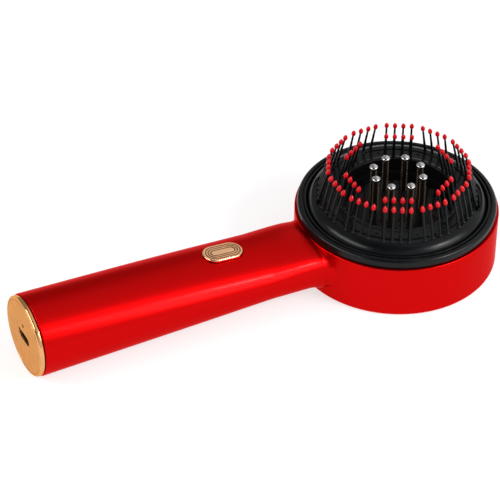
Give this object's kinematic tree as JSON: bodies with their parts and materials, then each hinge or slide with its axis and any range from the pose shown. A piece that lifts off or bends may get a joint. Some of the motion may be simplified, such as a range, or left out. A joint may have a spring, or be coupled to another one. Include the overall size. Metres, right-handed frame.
{
  "type": "electric scalp massager",
  "caption": "Handheld scalp massager: round drum head with leaning bristle rows round a dark window with metal-capped columns, on a flared handle with a push button.",
  "frame": {"origin": "centre of the drum's flat underside, where it rests on a table", "axes": "+Z the way the bristles point, -X along the handle towards its end cap, Y across the handle"},
  "size_m": [0.2114, 0.085, 0.0459],
  "materials": {
    "red_body": "metallic red lacquer, satin gloss",
    "black_gloss": "black, semi-gloss",
    "black_plastic": "moulded black",
    "black_satin": "black, satin",
    "black_bristle": "moulded nylon, satin",
    "red_tip": "red dipped tip, soft gloss",
    "black_rubber": "moulded rubber",
    "dark_window": "dark tinted clear plastic",
    "clear_column": "clear plastic, faint brown tint",
    "brass_pin": "plain turned",
    "chrome_cap": "polished",
    "circuit_board": "green solder mask",
    "red_led": "clear red package",
    "steel": "plated",
    "heavy_metal": "sintered, matt",
    "ferrite": "sintered",
    "winding": "enamelled copper winding on a steel core",
    "white_plastic": "moulded white",
    "gold_trim": "rose-gold satin plating",
    "chip_black": "moulded package",
    "cell_can": "blue shrink wrap over a metal can",
    "lead_insulation": "soft insulated wire"
  },
  "bodies": {
    "housing": {"battery_cell": "cell_can", "battery_contacts": "steel", "battery_leads": "lead_insulation", "carrier_screws": "steel", "charge_board": "circuit_board", "charge_leads": "lead_insulation", "charge_led": "red_led", "charge_light_pipe": "clear_column", "chassis_screws": "steel", "clamp_screws": "steel", "comb_o_ring": "black_rubber", "contact_caps": "chrome_cap", "contact_pins": "brass_pin", "control_board": "circuit_board", "control_chips": "chip_black", "control_screws": "steel", "end_cap": "gold_trim", "end_cap_seal": "black_rubber", "handle_chassis": "black_plastic", "head_carrier": "black_plastic", "lead_sockets": "white_plastic", "led_board": "circuit_board", "led_board_screws": "steel", "led_leads": "lead_insulation", "lens_gasket": "black_rubber", "light_columns": "clear_column", "main_housing": "red_body", "motor_bushes": "brass_pin", "motor_can": "steel", "motor_clamp": "steel", "motor_end_bell": "white_plastic", "motor_leads": "lead_insulation", "motor_magnets": "ferrite", "motor_sleeve": "black_rubber", "red_leds": "red_led", "rim_ring": "black_gloss", "tact_switch": "black_plastic", "usb_shell": "steel", "usb_tongue": "black_plastic", "window_lens": "dark_window"},
    "comb": {"comb_plate": "black_satin", "outer_bristles": "black_bristle", "outer_bristle_tips": "red_tip", "inner_bristles": "black_bristle", "inner_bristle_tips": "red_tip"},
    "button": {"power_button": "gold_trim"},
    "switch_plunger": {"tact_plunger": "white_plastic"},
    "rotor": {"motor_shaft": "steel", "motor_armature": "winding", "eccentric_weight": "heavy_metal"}
  },
  "joints": [
    {"name": "comb_lift", "type": "slide", "parent": "housing", "child": "comb", "axis": [0, 0, 1], "range_m": [0, 0.025]},
    {"name": "button_press", "type": "slide", "parent": "housing", "child": "button", "axis": [-0.0852, 0, -0.9964], "range_m": [0, 0.0005], "stiffness_N_per_m": 3000, "springref_m": -0.0002},
    {"name": "plunger_press", "type": "slide", "parent": "housing", "child": "switch_plunger", "axis": [-0.0852, 0, -0.9964], "range_m": [0, 0.0005]},
    {"name": "rotor_spin", "type": "hinge", "parent": "housing", "child": "rotor", "pos_m": [0, 0, 0.0088], "axis": [0, 1, 0], "continuous": true}
  ],
  "couplings": [
    {"joint": "plunger_press", "follows": "button_press", "ratio": 1}
  ]
}
